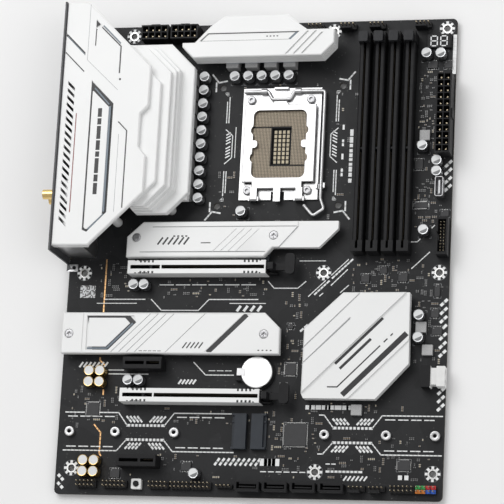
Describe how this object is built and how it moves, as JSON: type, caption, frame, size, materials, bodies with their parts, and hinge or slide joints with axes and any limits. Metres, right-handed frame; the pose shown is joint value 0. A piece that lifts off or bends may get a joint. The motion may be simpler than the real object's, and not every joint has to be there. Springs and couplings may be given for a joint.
{
  "type": "motherboard",
  "caption": "Black ATX motherboard with a land-grid processor socket, white stepped heatsinks, rear connector cover, armoured expansion slots and latching memory slots.",
  "frame": {"origin": "centre of the ATX datum mounting hole, on the underside of the board", "axes": "+X from the rear connectors to the front of the case, +Y to the processor end, +Z out of the component side"},
  "size_m": [0.2569, 0.3089, 0.0444],
  "materials": {
    "board_black": "semi-matt black solder mask over laminate",
    "black_plastic": "moulded connector plastic",
    "grey_plastic": "dark grey moulded plastic",
    "white_plastic": "white moulded plastic",
    "white_metal": "satin white powder coat on aluminium",
    "bright_steel": "bright nickel plated steel",
    "dark_steel": "dark coated steel",
    "can_silver": "drawn aluminium can",
    "can_gold": "gold coloured can",
    "choke_grey": "pressed ferrite powder",
    "chip_black": "moulded epoxy",
    "pad_grey": "soft thermal pad",
    "contact_bronze": "plated spring contacts",
    "pin_gold": "gold plated brass",
    "ceramic": "fired ceramic chips",
    "cell_steel": "stainless cell case",
    "display_black": "dark display face"
  },
  "bodies": {
    "board": {"pcb": "board_black", "socket_body": "black_plastic", "socket_contacts": "contact_bronze", "socket_center_capacitors": "ceramic", "ilm_frame": "bright_steel", "ilm_screws": "bright_steel", "ilm_backplate": "dark_steel", "vrm_heatsink_left": "white_metal", "vrm_heatsink_top": "white_metal", "heatsink_screws": "bright_steel", "power_inductors": "choke_grey", "power_stages": "chip_black", "thermal_pads": "pad_grey", "polymer_capacitors": "can_silver", "audio_capacitors": "can_gold", "atx_power_housing": "black_plastic", "eps_power_housings": "black_plastic", "power_pins": "pin_gold", "dimm_slot_1": "black_plastic", "dimm_slot_2": "black_plastic", "dimm_slot_3": "black_plastic", "dimm_slot_4": "black_plastic", "slot_contacts": "pin_gold", "pcie_x16_slot_1": "black_plastic", "pcie_x16_slot_2": "black_plastic", "pcie_armor_1": "white_metal", "pcie_armor_2": "white_metal", "pcie_x1_slots": "black_plastic", "m2_heatsink_upper": "white_metal", "m2_heatsink_lower": "white_metal", "m2_connectors": "grey_plastic", "m2_standoffs": "bright_steel", "chipset_heatsink": "white_metal", "chipset_package": "chip_black", "coin_cell": "cell_steel", "battery_holder": "black_plastic", "battery_clip": "bright_steel", "sata_connectors": "black_plastic", "front_usb_header": "black_plastic", "front_usb_c_header": "bright_steel", "side_connectors": "white_plastic", "header_bases": "black_plastic", "header_pins": "pin_gold", "tact_switch_body": "white_plastic", "digit_display": "display_black", "io_cover": "white_metal", "io_shield": "dark_steel", "rear_port_shells": "bright_steel", "rear_port_inserts": "black_plastic", "antenna_jacks": "pin_gold", "ic_packages": "chip_black"},
    "load_plate": {"ilm_load_plate": "bright_steel"},
    "load_lever": {"ilm_load_lever": "bright_steel"},
    "switch_plunger": {"tact_switch_plunger": "black_plastic"},
    "memory_latch_1": {"dimm_latch_1": "grey_plastic"},
    "memory_latch_2": {"dimm_latch_2": "grey_plastic"},
    "memory_latch_3": {"dimm_latch_3": "grey_plastic"},
    "memory_latch_4": {"dimm_latch_4": "grey_plastic"},
    "card_latch_1": {"pcie_latch_1": "black_plastic"},
    "card_latch_2": {"pcie_latch_2": "black_plastic"}
  },
  "joints": [
    {"name": "load_plate_hinge", "type": "hinge", "parent": "board", "child": "load_plate", "pos_m": [0.1232, 0.0467, 0.0054], "axis": [1, 0, 0], "range_deg": [0, 100]},
    {"name": "load_lever_hinge", "type": "hinge", "parent": "board", "child": "load_lever", "pos_m": [0.1232, 0.1172, 0.0049], "axis": [-1, 0, 0], "range_deg": [0, 120]},
    {"name": "memory_latch_hinge_1", "type": "hinge", "parent": "board", "child": "memory_latch_1", "pos_m": [0.1772, 0.149, 0.005], "axis": [-1, 0, 0], "range_deg": [0, 30]},
    {"name": "memory_latch_hinge_2", "type": "hinge", "parent": "board", "child": "memory_latch_2", "pos_m": [0.18675, 0.149, 0.005], "axis": [-1, 0, 0], "range_deg": [0, 30]},
    {"name": "memory_latch_hinge_3", "type": "hinge", "parent": "board", "child": "memory_latch_3", "pos_m": [0.1963, 0.149, 0.005], "axis": [-1, 0, 0], "range_deg": [0, 30]},
    {"name": "memory_latch_hinge_4", "type": "hinge", "parent": "board", "child": "memory_latch_4", "pos_m": [0.20585, 0.149, 0.005], "axis": [-1, 0, 0], "range_deg": [0, 30]},
    {"name": "card_latch_hinge_1", "type": "hinge", "parent": "board", "child": "card_latch_1", "pos_m": [0.1246, 0.0014, 0.005], "axis": [0, 1, 0], "range_deg": [0, 18]},
    {"name": "card_latch_hinge_2", "type": "hinge", "parent": "board", "child": "card_latch_2", "pos_m": [0.1246, -0.07988, 0.005], "axis": [0, 1, 0], "range_deg": [0, 18]},
    {"name": "switch_plunger_slide", "type": "slide", "parent": "board", "child": "switch_plunger", "axis": [0, 0, -1], "range_m": [0, 0.00025], "stiffness_N_per_m": 300}
  ]
}
